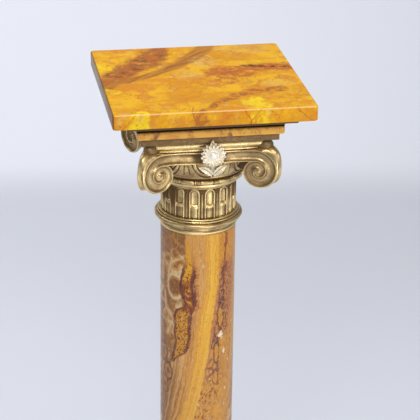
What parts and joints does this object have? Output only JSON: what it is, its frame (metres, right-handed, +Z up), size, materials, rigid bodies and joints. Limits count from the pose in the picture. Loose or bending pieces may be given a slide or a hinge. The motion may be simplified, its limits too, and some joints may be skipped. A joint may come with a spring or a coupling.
{
  "type": "pedestal column",
  "caption": "Square-topped marble pedestal column with a bronze Ionic capital, fluted neck, collar and foot, for standing a bust or vase on.",
  "frame": {"origin": "on the floor, under the middle of the plinth", "axes": "+Z up the column's axis, towards the square top; X and Y square with the top's sides, and -Y towards the front"},
  "size_m": [0.3, 0.3, 1.05],
  "materials": {
    "top_marble": "polished amber-yellow marble, clouded and veined in rust brown",
    "slab_marble": "polished orange marble with brown patches and small pits",
    "shaft_onyx": "polished banded onyx marble, orange with cream and purple-red veins",
    "foot_marble": "polished orange marble",
    "gilt_bronze": "aged gilt bronze, greenish gold on the rims and brown in the hollows",
    "bright_gilt": "bright burnished gilding",
    "brown_bronze": "dark brown patinated bronze moulding"
  },
  "bodies": {
    "root": {"plinth": "foot_marble", "plinth_step": "foot_marble", "foot_ring": "gilt_bronze", "shaft": "shaft_onyx", "collar_ring": "gilt_bronze", "fluted_neck": "gilt_bronze", "capital": "gilt_bronze", "flower_front": "bright_gilt", "flower_back": "bright_gilt", "lower_slab": "slab_marble", "under_plate": "brown_bronze", "top_slab": "top_marble"}
  },
  "joints": []
}
